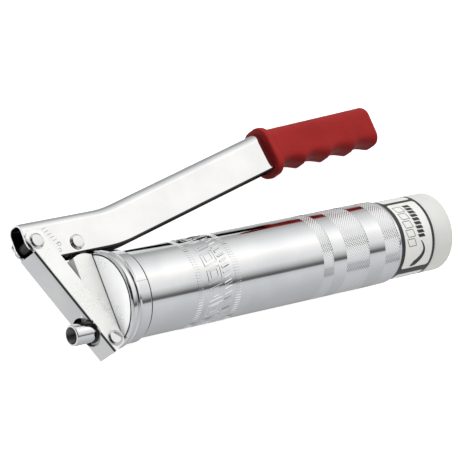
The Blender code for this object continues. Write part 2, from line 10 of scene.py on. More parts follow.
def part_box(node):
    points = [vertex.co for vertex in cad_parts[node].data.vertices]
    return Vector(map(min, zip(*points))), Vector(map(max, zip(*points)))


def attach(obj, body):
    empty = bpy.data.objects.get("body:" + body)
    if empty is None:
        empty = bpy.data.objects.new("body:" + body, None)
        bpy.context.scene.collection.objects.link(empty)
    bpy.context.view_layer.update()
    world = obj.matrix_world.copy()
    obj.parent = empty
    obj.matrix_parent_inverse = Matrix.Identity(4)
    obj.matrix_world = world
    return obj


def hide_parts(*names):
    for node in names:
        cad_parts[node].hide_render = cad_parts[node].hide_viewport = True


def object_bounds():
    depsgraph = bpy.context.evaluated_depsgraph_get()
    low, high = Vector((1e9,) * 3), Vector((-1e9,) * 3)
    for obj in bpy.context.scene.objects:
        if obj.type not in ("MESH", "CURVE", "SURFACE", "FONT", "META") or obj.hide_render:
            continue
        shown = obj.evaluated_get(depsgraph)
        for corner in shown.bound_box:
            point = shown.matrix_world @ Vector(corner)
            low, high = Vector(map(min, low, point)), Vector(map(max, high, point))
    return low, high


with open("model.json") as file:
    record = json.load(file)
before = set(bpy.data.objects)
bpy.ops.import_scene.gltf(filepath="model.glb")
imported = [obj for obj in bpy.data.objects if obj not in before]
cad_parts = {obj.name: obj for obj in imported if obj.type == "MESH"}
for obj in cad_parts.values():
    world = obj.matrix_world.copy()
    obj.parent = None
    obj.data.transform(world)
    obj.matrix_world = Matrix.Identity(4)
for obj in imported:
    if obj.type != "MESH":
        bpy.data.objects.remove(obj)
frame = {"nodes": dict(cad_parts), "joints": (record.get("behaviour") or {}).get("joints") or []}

# The looks of a lever-type grease gun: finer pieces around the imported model, their
# materials, a pale floor, soft studio light and the camera.

cad_low, cad_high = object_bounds()
CENTRE = (cad_low + cad_high) / 2
bpy.context.scene.view_settings.view_transform = "Standard"

# Places, from the frame

JOINTS = {joint["name"]: joint for joint in frame["joints"]}
LINK_FOOT = Vector(JOINTS["link_swing"]["pos_m"])
LEVER_PIVOT = Vector(JOINTS["lever_swing"]["pos_m"])


def middle(node):
    low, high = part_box(node)
    return (low + high) / 2


LINK_REACH = LEVER_PIVOT - LINK_FOOT
LINK_TILT = atan2(LINK_REACH.x, -LINK_REACH.y)
PLUNGER_PIVOT = middle("lever_plunger_rivet")
OUTLET_Y = middle("outlet_nozzle").y
BARREL_REAR, BARREL_FRONT = (corner.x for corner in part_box("barrel_tube"))
FACE_X = BARREL_FRONT + 0.0086  # the head's face
NOZZLE_TIP_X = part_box("outlet_nozzle")[1].x
REAR_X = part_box("cartridge_base")[0].x
LABEL_REAR, LABEL_FRONT = (corner.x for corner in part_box("cartridge_label"))

# Dimensions

BARREL_RADIUS = 0.0290
BARREL_WALL = 0.0008
ROLL_DEPTH = 0.0010
ROLL_LENGTH = 0.0075
KNURL_COLUMNS = 182
KNURL_DEPTH = 0.00030
KNURL_EDGE = 0.0001
KNURL_BANDS = ((0.0024, 0.0164), (0.0310, 0.0516), (0.0640, 0.0733))
RIB_COUNT = 96
RIB_ROWS = ((0.1484, 0.0042), (0.1806, 0.0040))
LARGE_SHAPES, LARGE_AT, LARGE_LENGTH = 15, 0.1620, 0.0112
SMALL_SHAPES, SMALL_AT, SMALL_LENGTH = 48, 0.1542, 0.0060
CARTRIDGE_RADIUS = 0.0275
CARTRIDGE_BORE = 0.0262
LABEL_INSET = 0.0003
LIP_RADIUS = 0.0326
SPIGOT_RADIUS = 0.0279
SPIGOT_BORE = 0.0250
SPIGOT_LENGTH = 0.0175
NECK_SOCKET_RADIUS = 0.0172
PASSAGE_RADIUS = 0.0046
BLOCK_DEPTH = 0.0152
BLOCK_HALF_WIDTH = 0.0076
BLOCK_TOP = 0.0316
BLOCK_ARCH_RISE = 0.0020
BLOCK_FOOT_RADIUS = 0.0052
BLOCK_FOOT_AT = 0.0298
PUMP_OFFSET = 0.0076
PLUNGER_RADIUS = 0.0045

RIVET_HEAD_RADIUS = 0.0052
RIVET_HEAD_HEIGHT = 0.0013
RIVET_SHANK_RADIUS = 0.0029
LINK_HALF_WIDTH = 0.0098
LINK_WALL = 0.0018
LINK_BEND = 0.0030
LINK_FRONT = 0.0074
LINK_REAR = 0.0081
LINK_FOOT_END = 0.0060
LINK_WINDOW_RADIUS = 0.0108
LINK_WINDOW_HEIGHT = 0.0138
BEYOND = 0.0200

LEVER_HALF_WIDTH = 0.0075
LEVER_WALL = 0.0015
LEVER_DEPTH = 0.0274
LEVER_EDGE_CHAMFER = 0.0008
LEVER_CROWN = 0.0062
LEVER_NOSE = 0.0065
LEVER_BASE = -0.0123
LEVER_SLOPE = radians(12.2)
LEVER_BEND_AT = 0.0653
LEVER_BEND_RADIUS = 0.1100
TAIL_SLOPE = radians(2.6)
TAIL_START = 0.2230
TAIL_BASE = 0.0255

GRIP_FRONT = 0.2108
GRIP_END = 0.3113
GRIP_HALF_WIDTH = 0.0112
GRIP_CORNER = 0.0082
GRIP_END_ROUND = 0.0036
GRIP_HEIGHT = 0.0297
GRIP_BELOW_TAIL = 0.0069
FLANGE_HALF_WIDTH = 0.0132
FLANGE_HALF_HEIGHT = 0.0176
FLANGE_CORNER = 0.0105
FLANGE_LENGTH = 0.0066
GROOVE_PITCH = 0.0230
GROOVE_DEPTH = 0.0031
GROOVE_FIRST = 0.2405

NOZZLE_RADIUS = 0.0070
NOZZLE_THREAD_RADIUS = 0.00475
NOZZLE_MOUTH_RADIUS = NOZZLE_THREAD_RADIUS + 0.0010
NOZZLE_BORE = 0.0039
NOZZLE_SPIGOT_RADIUS = 0.0051
THREAD_PITCH = 0.0010
THREAD_DEPTH = 0.00050

INK_HEIGHT = 0.00004
PANEL_REAR, PANEL_FRONT = 0.0208, 0.0462
PANEL_CORNER = 0.0022

RELIEF_DEPTH = 0.0001
CREAM_PLATING = ((0.70, 0.70, 0.680), (0.74, 0.74, 0.720))
WHITE_PLATING = ((0.92, 0.925, 0.93), (0.96, 0.965, 0.97))

# Node trees


class Number:
    """A number in a node tree. Arithmetic on it adds Math nodes."""

    def __init__(self, tree, source):
        self.tree = tree
        self.source = source

    def math(self, operation, *others):
        node = add_node(self.tree, "Math")
        node.operation = operation
        for socket, value in zip(node.inputs, (self, *others)):
            plug(self.tree, socket, value)
        return Number(self.tree, node.outputs[0])

    __add__ = partialmethod(math, "ADD")
    __sub__ = partialmethod(math, "SUBTRACT")
    __mul__ = partialmethod(math, "MULTIPLY")
    __truediv__ = partialmethod(math, "DIVIDE")

    def smooth(self, low, high, start=0.0, end=1.0):
        ends = {"From Min": low, "From Max": high, "To Min": start, "To Max": end}
        node = add_node(self.tree, "MapRange", {"Value": self, **ends})
        node.interpolation_type = "SMOOTHSTEP"
        return Number(self.tree, node.outputs["Result"])

    def ramp(self, stops):
        node = add_node(self.tree, "ValToRGB", {"Fac": self})
        elements = node.color_ramp.elements
        while len(elements) > 1:
            elements.remove(elements[-1])
        elements[0].position = stops[0][0]
        elements[0].color = (*stops[0][1], 1.0)
        for position, colour in stops[1:]:
            elements.new(position).color = (*colour, 1.0)
        return node.outputs["Color"]


def plug(tree, socket, value):
    """Sets a socket to a plain value, or links a Number or another socket to it."""
    if isinstance(value, Number):
        value = value.source
    if isinstance(value, bpy.types.NodeSocket):
        tree.links.new(value, socket)
    else:
        socket.default_value = value


def wire(tree, node, inputs):
    for name, value in inputs.items():
        plug(tree, node.inputs[name], value)


def add_node(tree, kind, inputs={}):
    node = tree.nodes.new("ShaderNode" + kind)
    wire(tree, node, inputs)
    return node


def coordinates(tree, output="Object"):
    vector = add_node(tree, "TexCoord").outputs[output]
    split = add_node(tree, "SeparateXYZ", {"Vector": vector})
    return vector, [Number(tree, socket) for socket in split.outputs]


def noise(tree, vector, scale, detail=3.0, roughness=0.5):
    grain = {"Scale": scale, "Detail": detail, "Roughness": roughness}
    node = add_node(tree, "TexNoise", {"Vector": vector, **grain})
    return Number(tree, node.outputs["Fac"])


def bump(tree, height, distance):
    relief = {"Height": height, "Distance": distance, "Strength": 1.0}
    return add_node(tree, "Bump", relief).outputs["Normal"]


def new_material(name):
    made = bpy.data.materials.new(name)
    made.use_nodes = True
    tree = made.node_tree
    return made, tree, tree.nodes["Principled BSDF"]


def metal(name, dark, light, smoothest, roughest, relief=None, bow=0.0):
    """A metal with a drifting tint and polish, a faint waviness and an optional relief."""
    made, tree, shader = new_material(name)
    vector, axes = coordinates(tree)
    drift = noise(tree, vector, 34.0, 4.0)
    grain = noise(tree, vector, 900.0, 2.0)
    tint = drift.smooth(0.3, 0.7).ramp([(0.0, dark), (1.0, light)])
    polish = (drift * 0.7 + grain * 0.3).smooth(0.3, 0.7, smoothest, roughest)
    height = noise(tree, vector, 60.0, 2.0) * 0.20 + grain * 0.004
    if bow:
        height = height + noise(tree, vector, 13.0, 1.0) * (bow / RELIEF_DEPTH)
    if relief:
        shape, worn = relief(axes)
        height = height + shape
        polish = polish + worn
    skin = {"Roughness": polish, "Normal": bump(tree, height, RELIEF_DEPTH)}
    wire(tree, shader, {"Metallic": 1.0, "Base Color": tint, **skin})
    return made


def seamed(axes):
    """The collar's relief: the faint seam where its strip was joined."""
    _, y, z = axes
    around = (y.math("ARCTAN2", z) / tau).math("ABSOLUTE")
    near, far = 0.0006, 0.0016
    return around.smooth(near, far, -1.2, 0.0), around.smooth(near, far, 0.10, 0.0)


def chrome_material(name, relief=None, bow=0.0):
    return metal(name, (0.83, 0.84, 0.85), (0.90, 0.905, 0.91), 0.035, 0.085, relief, bow)


def satin_material(name, tints=WHITE_PLATING):
    """Satin zinc plating, which scatters part of the light."""
    made = metal(name, *tints, 0.26, 0.34)
    made.node_tree.nodes["Principled BSDF"].inputs["Metallic"].default_value = 0.15
    return made


def dark_steel_and_painted_shade(name):
    """Dull near-black metal: painted shade inside a pressed channel; also the pivot sleeve's
    steel.
    """
    return metal(name, (0.035, 0.035, 0.034), (0.085, 0.085, 0.083), 0.30, 0.45)


def steel_material(name):
    return metal(name, (0.50, 0.50, 0.51), (0.62, 0.62, 0.63), 0.16, 0.30)


def brass_material(name):
    return metal(name, (0.62, 0.42, 0.16), (0.76, 0.56, 0.27), 0.20, 0.34)


def moulded(name, dark, light, smoothest, roughest, pebble, relief=0.00006, gloss=0.5):
    """A moulded plastic or rubber: a drifting colour, a fine pebbled skin and uneven gloss."""
    made, tree, shader = new_material(name)
    vector, _ = coordinates(tree)
    drift = noise(tree, vector, 22.0, 5.0, 0.6)
    skin = noise(tree, vector, pebble, 3.0, 0.6)
    tint = (drift * 0.75 + skin * 0.25).smooth(0.3, 0.7).ramp([(0.0, dark), (1.0, light)])
    shine = (drift * 0.5 + skin * 0.5).smooth(0.3, 0.7, smoothest, roughest)
    surface = {"Roughness": shine, "Normal": bump(tree, skin, relief)}
    wire(tree, shader, {"Base Color": tint, "Specular IOR Level": gloss, **surface})
    return made


def rubber_material(name):
    return moulded(name, (0.015, 0.015, 0.015), (0.035, 0.035, 0.035), 0.5, 0.7, 900.0)


def white_plastic(name, smoothest, roughest):
    tints = (0.60, 0.60, 0.57), (0.67, 0.67, 0.64)
    return moulded(name, *tints, smoothest, roughest, 1400.0, 0.00002)


# Mesh helpers


def finish_mesh(name, bm, material, at=(0, 0, 0), turn=0.0, axis="Z", sharp=32):
    bmesh.ops.recalc_face_normals(bm, faces=bm.faces)
    mesh = bpy.data.meshes.new(name)
    bm.to_mesh(mesh)
    bm.free()
    mesh.shade_smooth()
    mesh.set_sharp_from_angle(angle=radians(sharp))
    obj = bpy.data.objects.new(name, mesh)
    bpy.context.scene.collection.objects.link(obj)
    obj.matrix_world = Matrix.Translation(at) @ Matrix.Rotation(turn, 4, axis)
    if material:
        mesh.materials.append(material)
    return obj


def cutter(bm, at=(0, 0, 0), turn=0.0):
    return finish_mesh("cutter", bm, None, at, turn)


def rest_in_place(obj):
    """Moves the object's place into its mesh, so that object coordinates are the row frame's."""
    bpy.context.view_layer.update()
    obj.data.transform(obj.matrix_world)
    obj.matrix_world = Matrix.Identity(4)


def carve(obj, *cutters, within=None, sharp=32):
    """Keeps what is within a solid, if one is given, cuts the cutters out and removes them."""
    tools = [(within, "INTERSECT")] if within else []
    tools += [(cutter, "DIFFERENCE") for cutter in cutters]
    for tool, operation in tools:
        boolean = obj.modifiers.new("carve", "BOOLEAN")
        boolean.operation = operation
        boolean.object = tool
        boolean.solver = "MANIFOLD"
    bpy.context.view_layer.update()
    graph = bpy.context.evaluated_depsgraph_get()
    mesh = bpy.data.meshes.new_from_object(obj.evaluated_get(graph))
    mesh.name = obj.name
    obj.modifiers.clear()
    obj.data = mesh
    while len(obj.data.materials) > 1:
        obj.data.materials.pop()
    for tool, _ in tools:
        bpy.data.objects.remove(tool, do_unlink=True)
    bm = bmesh.new()
    bm.from_mesh(obj.data)
    bmesh.ops.dissolve_limit(bm, angle_limit=radians(0.5), verts=bm.verts, edges=bm.edges)
    bm.to_mesh(obj.data)
    bm.free()
    obj.data.shade_smooth()
    obj.data.set_sharp_from_angle(angle=radians(sharp))


def soften(obj, width, segments=3, angle=32):
    """Rounds the sharp edges and weights the normals, so that flat faces stay flat."""
    bevel = obj.modifiers.new("bevel", "BEVEL")
    bevel.width = width
    bevel.segments = segments
    bevel.limit_method = "ANGLE"
    bevel.angle_limit = radians(angle)
    bevel.use_clamp_overlap = True
    bevel.miter_outer = "MITER_ARC"
    weight = obj.modifiers.new("weight", "WEIGHTED_NORMAL")
    weight.keep_sharp = True
    obj.data.shade_smooth()


def paint(obj, material, wanted):
    """Gives one more material to the faces that are wanted."""
    obj.data.materials.append(material)
    for face in obj.data.polygons:
        if wanted(face):
            face.material_index = len(obj.data.materials) - 1


def shade_channel_inside(obj, open_side, half_width, wall):
    """Gives a channel, symmetric about z = 0, painted shade inside and on its rims."""

    def inside(face):
        facing, height = face.normal.dot(open_side), abs(face.center.z)
        floor = facing > 0.3 and height < half_width - wall - 0.0001
        return floor or facing > 0.6 or face.normal.z * face.center.z < -0.3 * height

    # Painted shade: near-black metal on the inside faces and the rims.
    paint(obj, dark_steel_and_painted_shade(obj.name + "_shaded_inside"), inside)


def place(obj, body, *replaced, slot=None):
    rest_in_place(obj)
    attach(obj, body)
    if replaced:
        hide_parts(*replaced)
    return obj


def arc(centre, radius, start, end, steps):
    angles = [radians(start + (end - start) * i / steps) for i in range(steps + 1)]
    return [(centre[0] + radius * cos(a), centre[1] + radius * sin(a)) for a in angles]


def around_x(x, radius, angle):
    return Vector((x, radius * sin(angle), radius * cos(angle)))


def filleted(points, radii, closed=True, step=9.0):
    """The outline with each corner rounded to its radius. A radius of 0 keeps the corner."""
    made = []
    count = len(points)
    for i, (point, radius) in enumerate(zip(points, radii)):
        at = Vector(point)
        if radius <= 0 or (not closed and i in (0, count - 1)):
            made.append(tuple(at))
            continue
        before = Vector(points[i - 1]) - at
        after = Vector(points[(i + 1) % count]) - at
        opening = before.angle(after)
        turn = pi - opening
        if turn < 0.02:
            made.append(tuple(at))
            continue
        reach = min(radius * tan(turn / 2), 0.48 * before.length, 0.48 * after.length)
        true_radius = reach / tan(turn / 2)
        bisector = (before.normalized() + after.normalized()).normalized()
        centre = at + bisector * (true_radius / cos(turn / 2))
        first = at + before.normalized() * reach - centre
        last = at + after.normalized() * reach - centre
        steps = max(2, ceil(degrees(turn) / step))
        for k in range(steps + 1):
            made.append(tuple(centre + slerp(first, last, k / steps)))
    return made


def slerp(first, last, share):
    angle = first.angle(last)
    if angle < 1e-6:
        return first
    return (first * sin((1 - share) * angle) + last * sin(share * angle)) / sin(angle)


def rounded(rows, offset=0.0, step=9.0):
    """An outline from rows of (x, radius, fillet radius), moved along X by the offset."""
    points = [(offset + x, radius) for x, radius, _ in rows]
    return filleted(points, [fillet for _, _, fillet in rows], step=step)


def divided(corners, parts=6):
    """The closed outline through the corners, each side cut into equal parts."""
    made = []
    for p, q in zip(corners, [*corners[1:], corners[0]]):
        made += [
            (p[0] + (q[0] - p[0]) * k / parts, p[1] + (q[1] - p[1]) * k / parts)
            for k in range(parts)
        ]
    return made


def ribbon(path, widths):
    """The pairs of points on both sides of a path, this far apart."""
    flat = [Vector(point) for point in path]
    pairs = []
    for i, at in enumerate(flat):
        along = (flat[min(i + 1, len(flat) - 1)] - flat[max(i - 1, 0)]).normalized()
        across = Vector((-along.y, along.x)) * widths[i] / 2
        pairs.append((at - across, at + across))
    return pairs


def turned(outline, steps=192):
    """Turned about the X axis from (x, radius) points; a ring unless its ends are on the axis."""
    bm = bmesh.new()
    points = [bm.verts.new((x, 0.0, radius)) for x, radius in outline]
    edges = [bm.edges.new(pair) for pair in zip(points, points[1:])]
    if outline[0][1] > 0.0:
        edges.append(bm.edges.new((points[-1], points[0])))
    bmesh.ops.spin(
        bm, geom=points + edges, cent=(0, 0, 0), axis=(1, 0, 0), angle=tau, steps=steps,
        use_merge=True,
    )
    bmesh.ops.remove_doubles(bm, verts=bm.verts, dist=1e-7)
    return bm


def extruded(outline, low, high):
    bm = bmesh.new()
    face = bm.faces.new([bm.verts.new((x, y, low)) for x, y in outline])
    grown = bmesh.ops.extrude_face_region(bm, geom=[face])
    moved = [item for item in grown["geom"] if isinstance(item, bmesh.types.BMVert)]
    bmesh.ops.translate(bm, verts=moved, vec=(0, 0, high - low))
    return bm


def join(bm, rings, around=True, looped=False, smooth=True):
    """Joins each ring, or open row, of vertices to the next one with quads."""
    nexts = [*rings[1:], rings[0]] if looped else rings[1:]
    for ring, following in zip(rings, nexts):
        if around:
            ring, following = [*ring, ring[0]], [*following, following[0]]
        for corners in zip(ring, ring[1:], following[1:], following):
            bm.faces.new(corners).smooth = smooth


def swept(sections):
    bm = bmesh.new()
    rings = [[bm.verts.new(point) for point in section] for section in sections]
    join(bm, rings)
    bm.faces.new(rings[0])
    bm.faces.new(rings[-1])
    return bm


def rod(low, high, radius, steps=64):
    return turned([(low, 0.0), (low, radius), (high, radius), (high, 0.0)], steps)


# Pump head


def make_head():
    chrome = chrome_material("chrome_head")
    fine = 0.00025
    rings = [
        (0.0, PASSAGE_RADIUS, 0.0),
        (0.0, 0.0303, 0.0),
        (-0.0004, 0.0307, 0.00025),
        (0.0, 0.0311, 0.0008),
        (-0.0010, LIP_RADIUS, 0.0011),
        (-0.0043, LIP_RADIUS, 0.0013),
        (-0.0052, 0.0296, 0.0003),
        (-0.0082, 0.0296, 0.0),
        (-0.0082, SPIGOT_RADIUS, 0.0),
        (-SPIGOT_LENGTH, SPIGOT_RADIUS, fine),
        (-SPIGOT_LENGTH, SPIGOT_BORE, fine),
        (-0.0090, SPIGOT_BORE, 0.0),
        (-0.0090, 0.0205, 0.0),
        (-0.0160, 0.0205, fine),
        (-0.0160, NECK_SOCKET_RADIUS, fine),
        (-0.0065, NECK_SOCKET_RADIUS, 0.0),
        (-0.0065, PASSAGE_RADIUS, 0.0),
    ]
    cup = finish_mesh("head_cup", turned(rounded(rings, FACE_X, 6.0), 256), chrome, sharp=40)

    def flat(face):
        return face.normal.x > 0.99 and face.center.x > FACE_X - 0.0001

    paint(cup, satin_material("chrome_face"), flat)
    place(cup, "gun_body", "pump_head", slot="chrome")


def block_top():
    """The shallow arch over the block's top, from its foot edge to its front edge."""
    half = BLOCK_DEPTH / 2
    radius = (half**2 + BLOCK_ARCH_RISE**2) / (2 * BLOCK_ARCH_RISE)
    span = degrees(asin(half / radius))
    return arc((FACE_X + half, radius - BLOCK_TOP), radius, -90 - span, -90 + span, 32)


def make_block():
    top = block_top()
    foot = arc((LINK_FOOT.x, LINK_FOOT.y), BLOCK_FOOT_RADIUS, 0, 125, 24)
    buried = FACE_X - 0.0010
    front = (FACE_X + BLOCK_DEPTH, LINK_FOOT.y - 0.0066)
    outline = [(buried, top[0][1]), *top, front, *foot, (buried, BLOCK_FOOT_AT)]
    satin = satin_material("chrome_block", CREAM_PLATING)
    solid = extruded(outline, -BLOCK_HALF_WIDTH, BLOCK_HALF_WIDTH)
    block = finish_mesh("head_block", solid, satin)
    pump = rod(-0.0400, 0.0225, PLUNGER_RADIUS + 0.0003)
    outlet = rod(FACE_X + 0.0130, FACE_X + 0.0200, 0.0054)
    bore = cutter(pump, (FACE_X + PUMP_OFFSET, 0, 0), pi / 2)
    carve(block, bore, cutter(outlet, (0, OUTLET_Y, 0)))
    soften(block, 0.00045)
    place(block, "gun_body", slot="chrome")

    # A thin near-black strip where the block meets the head's face: a painted shadow in that
    # corner.
    around, proud, high = 0.0006, 0.0003, 0.0285
    low = top[0][1] - around
    rear, face = FACE_X - proud, FACE_X + proud
    reach = BLOCK_HALF_WIDTH + around
    strip = extruded([(rear, low), (face, low), (face, high), (rear, high)], -reach, reach)
    dark_strip = finish_mesh("block_corner_shade", strip, dark_steel_and_painted_shade("painted_corner_shadow"))
    soften(dark_strip, 0.0002)
    place(dark_strip, "gun_body", slot="chrome")


def make_collar():
    rear, front = FACE_X - 0.0170, FACE_X - 0.0068
    lap = front + 0.0020
    rows = [
        (rear, 0.0293, 0.0), (rear, 0.0309, 0.0006), (front - 0.0022, 0.0309, 0.0020),
        (front, 0.0317, 0.0007), (lap, 0.0297, 0.0), (lap, 0.0293, 0.0),
    ]
    chrome = chrome_material("chrome_collar", seamed)
    collar = finish_mesh("collar", turned(rounded(rows), 256), chrome, sharp=40)
    place(collar, "gun_body", "collar_ring", slot="chrome")

    # Thin near-black rings at the edge of the head's face and at the collar's rear: painted
    # shadow lines.
    shadow = dark_steel_and_painted_shade("painted_shadow_line")
    round_off = 0.0002
    for name, low, high, inner, outer in (
        ("face_shadow_ring", FACE_X - 0.0002, FACE_X + 0.0001, 0.0297, 0.0306),
        ("collar_shadow_ring", rear - 0.0012, rear + 0.0004, 0.0287, 0.0301),
    ):
        rows = [
            (low, inner, 0.0), (low, outer, round_off), (high, outer, round_off),
            (high, inner, 0.0),
        ]
        ring = finish_mesh(name, turned(rounded(rows), 192), shadow, sharp=40)
        ring.visible_glossy = False
        place(ring, "gun_body", slot="chrome")


# Barrel


def roll_radius(back):
    """The barrel's outside radius this far from its rear end, where the edge is rolled in."""
    share = min(1.0, back / ROLL_LENGTH)
    return BARREL_RADIUS - ROLL_DEPTH * (1 - sqrt(1 - (1 - share) ** 2))


def barrel_rows():
    """Rows of the outside, as (distance from the rear, step in a knurled band or None)."""
    half_pitch = tau * BARREL_RADIUS / KNURL_COLUMNS
    rows = [(ROLL_LENGTH * share, None) for share in (0.0, 0.02, 0.07, 0.15)]
    for low, high in KNURL_BANDS:
        steps = round((high - low) / half_pitch)
        rows.append((low - KNURL_EDGE, None))
        rows += [(low + half_pitch * k, k) for k in range(steps + 1)]
        rows.append((low + half_pitch * steps + KNURL_EDGE, None))
    return [*rows, (BARREL_FRONT - BARREL_REAR, None)]


def knurled_tube():
    """The barrel: a knurled outside of small pyramids, and a plain bore."""
    bm = bmesh.new()
    step = tau / KNURL_COLUMNS
    rows = barrel_rows()
    rings = []
    for back, band in rows:
        ring = []
        for j in range(KNURL_COLUMNS):
            valley = band is not None and (band + j) % 2 == 0
            radius = roll_radius(back) - (KNURL_DEPTH if valley else 0.0)
            ring.append(bm.verts.new(around_x(BARREL_REAR + back, radius, j * step)))
        rings.append(ring)
    inner, bore = BARREL_RADIUS - BARREL_WALL, CARTRIDGE_RADIUS + 0.0003
    bore_line = [
        (BARREL_FRONT, inner), (BARREL_REAR + ROLL_LENGTH, inner), (BARREL_REAR + 0.0030, bore),
        (BARREL_REAR, bore),
    ]
    for x, radius in bore_line:
        points = [around_x(x, radius, j * step) for j in range(KNURL_COLUMNS)]
        rings.append([bm.verts.new(point) for point in points])
        rows.append((x, None))
    for i, ring in enumerate(rings):
        following = rings[(i + 1) % len(rings)]
        bands = rows[i][1], rows[(i + 1) % len(rings)][1]
        for j in range(KNURL_COLUMNS):
            k = (j + 1) % KNURL_COLUMNS
            corners = [ring[j], ring[k], following[k], following[j]]
            if None in bands:
                bm.faces.new(corners).smooth = bands == (None, None)
                continue
            if (bands[0] + j) % 2:
                corners = corners[1:] + corners[:1]
            bm.faces.new(corners[:3]).smooth = False
            bm.faces.new((corners[0], corners[2], corners[3])).smooth = False
    return bm


def raise_ridge(bm, path, width, height, closed=False):
    """Raises a ridge on the barrel along a path of (x, degrees) points."""
    sunk = -0.0001
    flat = [Vector((x, radians(angle) * BARREL_RADIUS)) for x, angle in path]
    count = len(flat)
    rings = []
    for i, at in enumerate(flat):
        before = flat[i - 1] if closed or i else at
        after = flat[(i + 1) % count] if closed or i < count - 1 else at
        along = (after - before).normalized()
        across = Vector((-along.y, along.x))
        ring = []
        for side, rise in ((-0.5, sunk), (-0.2, height), (0.2, height), (0.5, sunk)):
            point = at + across * side * width
            turn = point.y / BARREL_RADIUS
            ring.append(bm.verts.new(around_x(point.x, BARREL_RADIUS + rise, turn)))
        rings.append(ring)
    join(bm, rings, looped=closed, smooth=False)
    if not closed:
        bm.faces.new(rings[0]).smooth = False
        bm.faces.new(rings[-1]).smooth = False


def raise_stamping(bm):
    """Two rows of fine ribs, and between them a stamped band of plain slanted shapes."""
    for back, length in RIB_ROWS:
        centre = BARREL_REAR + back
        for i in range(RIB_COUNT):
            angle = 360 * i / RIB_COUNT
            path = [(centre - length / 2, angle), (centre + length / 2, angle)]
            raise_ridge(bm, path, 0.0009, 0.00030)
    large, small = BARREL_REAR + LARGE_AT, BARREL_REAR + SMALL_AT
    for i in range(LARGE_SHAPES):
        start = 360 * i / LARGE_SHAPES
        for inset in (0.0, 0.24):
            low, high = large + LARGE_LENGTH * inset, large + LARGE_LENGTH * (1 - inset)
            a, b = start + 20.0 * inset * 0.7, start + 17.5 - 20.0 * inset * 0.7
            lean = 5.0 * (1 - 2 * inset)
            corners = [(low, a), (high, a + lean), (high, b + lean), (low, b)]
            raise_ridge(bm, divided(corners), 0.0010, 0.00028, closed=True)
    for i in range(SMALL_SHAPES):
        start = 360 * i / SMALL_SHAPES
        path = [(small + SMALL_LENGTH * k / 4, start + 3.4 * k / 4) for k in range(5)]
        raise_ridge(bm, path, 0.0018 if i % 3 else 0.0030, 0.00028)


def make_barrel():
    bm = knurled_tube()
    raise_stamping(bm)
    flat = [not face.smooth for face in bm.faces]
    barrel = finish_mesh("barrel", bm, chrome_material("chrome_barrel"), sharp=40)
    for face, is_flat in zip(barrel.data.polygons, flat):
        face.use_smooth = not is_flat
    place(barrel, "gun_body", "barrel_tube", slot="chrome")


# Outlet


def make_nozzle():
    """The nozzle, with a real helical thread cut in its bore."""
    tip, shoulder, spigot = NOZZLE_TIP_X, FACE_X + 0.0172, FACE_X + 0.0133
    mouth, bottom = tip - 0.0010, FACE_X + 0.0250
    rim, edge = 0.0009, 0.0003
    rows, around = 44, 96

    def ring(x, radii):
        turns = [tau * k / around for k in range(around)]
        return [Vector((x, r * cos(turn), r * sin(turn))) for r, turn in zip(radii, turns)]

    outside = [
        (spigot, NOZZLE_BORE), (spigot, NOZZLE_SPIGOT_RADIUS), (shoulder, NOZZLE_SPIGOT_RADIUS),
        (shoulder, NOZZLE_RADIUS - edge), (shoulder + edge, NOZZLE_RADIUS),
        *arc((tip - rim, NOZZLE_RADIUS - rim), rim, 90, 0, 14), (tip, NOZZLE_MOUTH_RADIUS),
    ]
    rings = [ring(x, [r] * around) for x, r in outside]
    for i in range(rows + 1):
        x = mouth + (bottom - mouth) * i / rows
        depth = THREAD_DEPTH * 2 * min(1.0, i / 3)
        phases = [((mouth - x) / THREAD_PITCH + k / around) % 1.0 for k in range(around)]
        radii = [NOZZLE_THREAD_RADIUS - depth * (0.5 - abs(phase - 0.5)) for phase in phases]
        rings.append(ring(x, radii))
    rings.append(ring(bottom, [NOZZLE_BORE] * around))
    bm = bmesh.new()
    join(bm, [[bm.verts.new(point) for point in points] for points in rings], looped=True)
    chrome = chrome_material("chrome_nozzle")
    nozzle = finish_mesh("nozzle", bm, chrome, (0, OUTLET_Y, 0), sharp=40)

    def inside(face):
        at = face.center
        return sqrt(at.y**2 + at.z**2) < NOZZLE_MOUTH_RADIUS and bottom - 0.0001 < at.x < tip

    bore = metal("nozzle_bore", (0.16, 0.16, 0.155), (0.27, 0.27, 0.26), 0.30, 0.45)
    paint(nozzle, bore, inside)
    place(nozzle, "gun_body", "outlet_nozzle", slot="chrome")


# Link


def link_section():
    """The link's folded section, as (x, z) points."""
    side, rear = LINK_HALF_WIDTH, -LINK_REAR - 0.0010
    corner = (LINK_FRONT - LINK_BEND, side - LINK_BEND)
    outer = [(rear, side), *arc(corner, LINK_BEND, 90, 0, 20)]
    inner = [*arc(corner, LINK_BEND - LINK_WALL, 0, 90, 12), (rear, side - LINK_WALL)]
    section = [*outer, *((x, -z) for x, z in reversed(outer))]
    return section + [*((x, -z) for x, z in reversed(inner)), *inner]


def link_outline(length):
    """The link seen from the side: a round top end, a shaped foot and a straight front."""
    end = 0.0078
    start = degrees(atan2(sqrt(end**2 - LINK_FRONT**2), LINK_FRONT))
    outline = arc((0, -length), end, -start, -180, 48)
    outline += [(-LINK_REAR, -length + 0.0050), (-LINK_REAR, -0.0056)]
    outline += arc((0, 0), 0.0071, 186, 122, 24)
    outline += [(LINK_FRONT + 0.0100, LINK_FOOT_END + 0.0100 * 0.17)]
    return outline + [(LINK_FRONT + 0.0100, -length - 0.0022)]


